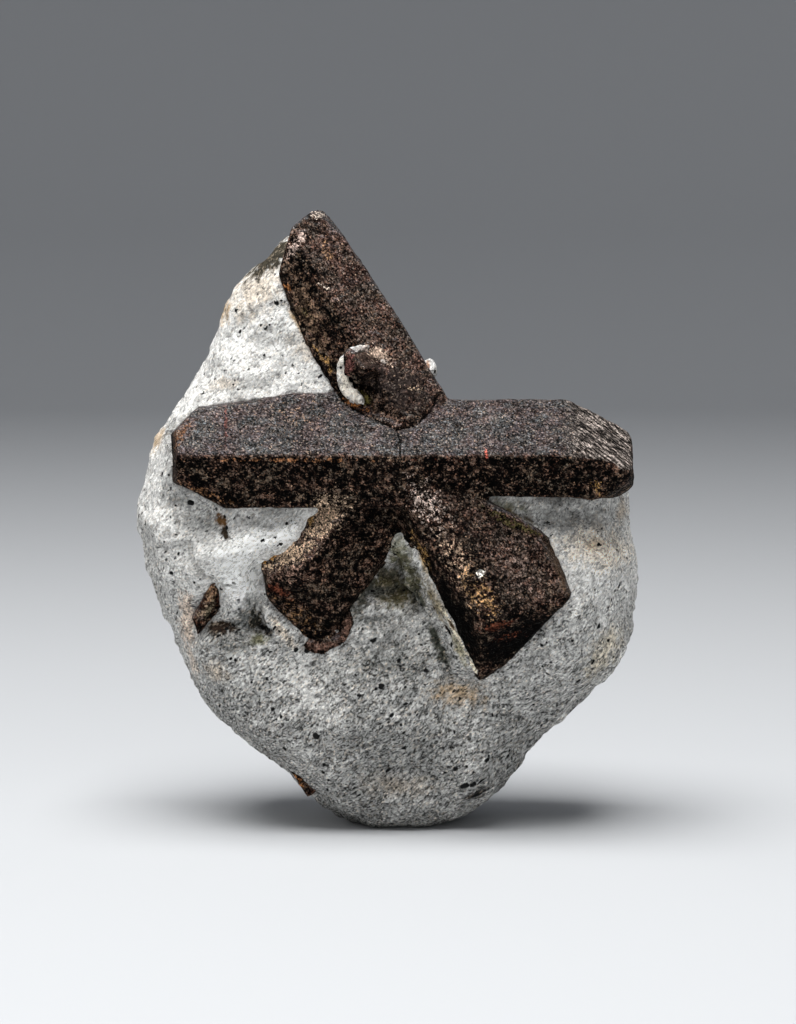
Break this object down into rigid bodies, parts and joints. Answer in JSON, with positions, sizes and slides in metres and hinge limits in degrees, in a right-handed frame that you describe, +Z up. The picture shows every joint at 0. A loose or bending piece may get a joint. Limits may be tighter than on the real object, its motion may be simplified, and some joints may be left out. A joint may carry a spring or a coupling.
{
  "type": "staurolite cross on stone",
  "caption": "Dark brown staurolite prisms grown through each other as a cross, set in the front of a pale mica schist pebble that stands upright on a small worn flat.",
  "frame": {"origin": "on the plane of the worn flat that the stone stands on, below the middle of the whole", "axes": "+Z up, the whole's longest way, +X to the right along the horizontal bar seen from the front, +Y away from the viewer, so the crystals are on the -Y side"},
  "size_m": [0.0748, 0.0458, 0.0919],
  "materials": {
    "schist": "rough, fine mica grain with black specks",
    "staurolite": "satin, granular, reddish brown to black"
  },
  "bodies": {
    "root": {"schist_stone": "schist", "staurolite_twin": "staurolite", "staurolite_small_left": "staurolite", "staurolite_small_edge": "staurolite", "schist_crescent": "schist", "schist_sliver": "schist"}
  },
  "joints": []
}
